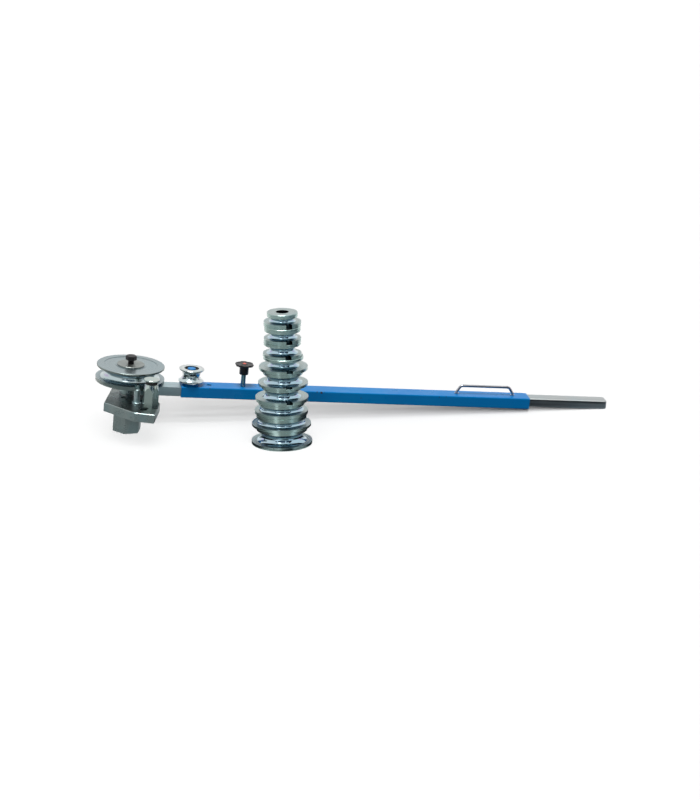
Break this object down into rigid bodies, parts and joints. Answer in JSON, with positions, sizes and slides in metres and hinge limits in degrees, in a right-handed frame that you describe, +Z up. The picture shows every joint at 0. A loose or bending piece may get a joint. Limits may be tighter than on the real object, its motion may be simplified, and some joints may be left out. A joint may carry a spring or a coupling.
{
  "type": "pipe bender",
  "caption": "Bench pipe bender for a vise: hexagonal stub, head with a grooved former, long swinging lever with a sliding roller sleeve, and a stack of spare formers.",
  "frame": {"origin": "centre of the vise stub's end face", "axes": "+X along the lever at rest, seen from above; +Z up from the floor that the tool and its spare formers rest on; the tool itself leans by about five degrees towards +X, on its stub and the end of its lever"},
  "size_m": [1.0308, 0.2486, 0.2634],
  "materials": {
    "zinc_steel": "zinc-plated steel, dull grey-green",
    "turned_zinc": "turned and zinc-plated steel, bright",
    "bright_steel": "ground bright steel",
    "bar_steel": "drawn flat bar, lightly brushed",
    "washer_steel": "plain washer, warm grey",
    "black_steel": "black oxide",
    "blue_paint": "gloss blue paint",
    "chrome_wire": "plated wire",
    "black_plastic": "moulded black plastic",
    "orange_plastic": "orange-red button",
    "bronze": "plain bearing bronze",
    "spring_steel": "spring wire"
  },
  "bodies": {
    "base": {"vise_stub": "zinc_steel", "base_plate": "zinc_steel", "centre_post": "bright_steel", "thrust_washer": "bright_steel", "former_seat_washer": "bright_steel", "drive_pin": "turned_zinc", "stop_post": "turned_zinc", "mounted_former": "turned_zinc", "clamp_washer": "washer_steel", "former_bolt": "black_steel"},
    "lever": {"lever_hub": "zinc_steel", "hub_bush": "bronze", "lever_bar": "bar_steel"},
    "sleeve": {"sleeve_tube": "blue_paint", "grip_bar": "bar_steel", "carry_handle": "chrome_wire", "handle_nuts": "bright_steel", "roller_stud": "blue_paint", "roller_circlip": "black_steel"},
    "roller": {"counter_roller": "turned_zinc", "roller_bush": "bronze"},
    "lock_pin": {"lock_pin_shank": "bright_steel", "lock_balls": "bright_steel", "lock_pin_grip": "black_plastic", "lock_spring": "spring_steel"},
    "lock_button": {"lock_button": "orange_plastic", "lock_spindle": "bright_steel"},
    "former_1": {"spare_former_1": "turned_zinc"},
    "former_2": {"spare_former_2": "turned_zinc"},
    "former_3": {"spare_former_3": "turned_zinc"},
    "former_4": {"spare_former_4": "turned_zinc"},
    "former_5": {"spare_former_5": "turned_zinc"},
    "former_6": {"spare_former_6": "turned_zinc"},
    "former_7": {"spare_former_7": "turned_zinc"},
    "former_8": {"spare_former_8": "turned_zinc"},
    "former_9": {"spare_former_9": "turned_zinc"}
  },
  "joints": [
    {"name": "lever_swing", "type": "hinge", "parent": "base", "child": "lever", "pos_m": [0.00756, -0.00188, 0.08765], "axis": [0.0859, -0.0214, 0.9961], "range_deg": [-8, 245]},
    {"name": "sleeve_slide", "type": "slide", "parent": "lever", "child": "sleeve", "axis": [0.9963, 0.0009, -0.0859], "range_m": [-0.025, 0.05]},
    {"name": "roller_spin", "type": "hinge", "parent": "sleeve", "child": "roller", "pos_m": [0.13044, -0.00248, 0.11018], "axis": [0.0859, -0.0214, 0.9961], "continuous": true},
    {"name": "lock_pin_pull", "type": "slide", "parent": "sleeve", "child": "lock_pin", "axis": [0.0859, -0.0214, 0.9961], "range_m": [-0.0247, 0.02]},
    {"name": "lock_button_press", "type": "slide", "parent": "lock_pin", "child": "lock_button", "axis": [-0.0859, 0.0214, -0.9961], "range_m": [0, 0.002], "stiffness_N_per_m": 600, "springref_m": -0.002, "deforming": ["lock_spring"]},
    {"name": "former_9_lift", "type": "slide", "parent": "base", "child": "former_9", "axis": [0, 0, 1], "range_m": [0, 0.03]},
    {"name": "former_8_lift", "type": "slide", "parent": "former_9", "child": "former_8", "axis": [0, 0, 1], "range_m": [0, 0.03]},
    {"name": "former_7_lift", "type": "slide", "parent": "former_8", "child": "former_7", "axis": [0, 0, 1], "range_m": [0, 0.03]},
    {"name": "former_6_lift", "type": "slide", "parent": "former_7", "child": "former_6", "axis": [0, 0, 1], "range_m": [0, 0.03]},
    {"name": "former_5_lift", "type": "slide", "parent": "former_6", "child": "former_5", "axis": [0, 0, 1], "range_m": [0, 0.03]},
    {"name": "former_4_lift", "type": "slide", "parent": "former_5", "child": "former_4", "axis": [0, 0, 1], "range_m": [0, 0.03]},
    {"name": "former_3_lift", "type": "slide", "parent": "former_4", "child": "former_3", "axis": [0, 0, 1], "range_m": [0, 0.03]},
    {"name": "former_2_lift", "type": "slide", "parent": "former_3", "child": "former_2", "axis": [0, 0, 1], "range_m": [0, 0.03]},
    {"name": "former_1_lift", "type": "slide", "parent": "former_2", "child": "former_1", "axis": [0, 0, 1], "range_m": [0, 0.03]}
  ]
}
